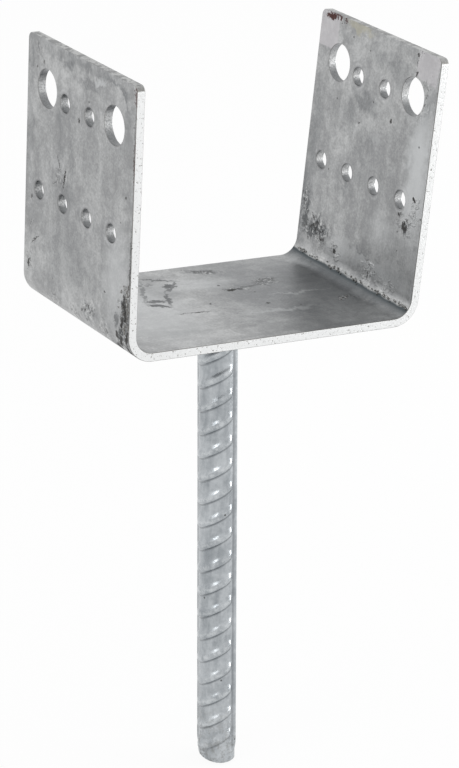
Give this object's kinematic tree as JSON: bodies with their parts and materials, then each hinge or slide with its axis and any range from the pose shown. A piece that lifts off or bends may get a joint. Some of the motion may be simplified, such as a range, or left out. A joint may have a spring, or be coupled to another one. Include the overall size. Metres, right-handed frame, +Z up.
{
  "type": "timber post base",
  "caption": "U-shaped saddle folded from one steel strap, with bolt and screw holes in both flanges and a ribbed bar welded under it for casting into concrete.",
  "frame": {"origin": "middle of the seat, the top face of the strap that the post stands on", "axes": "+X across the U from the left flange to the right, +Y along the strap's width from front to back, +Z up"},
  "size_m": [0.1119, 0.07, 0.2477],
  "materials": {
    "zinc_strap": "hot-dip galvanised, dull with bright raw-looking edges",
    "zinc_bar": "hot-dip galvanised, silky",
    "zinc_weld": "hot-dip galvanised weld, rough"
  },
  "bodies": {
    "root": {"u_bracket": "zinc_strap", "ribbed_stem": "zinc_bar", "weld_bead": "zinc_weld"}
  },
  "joints": []
}
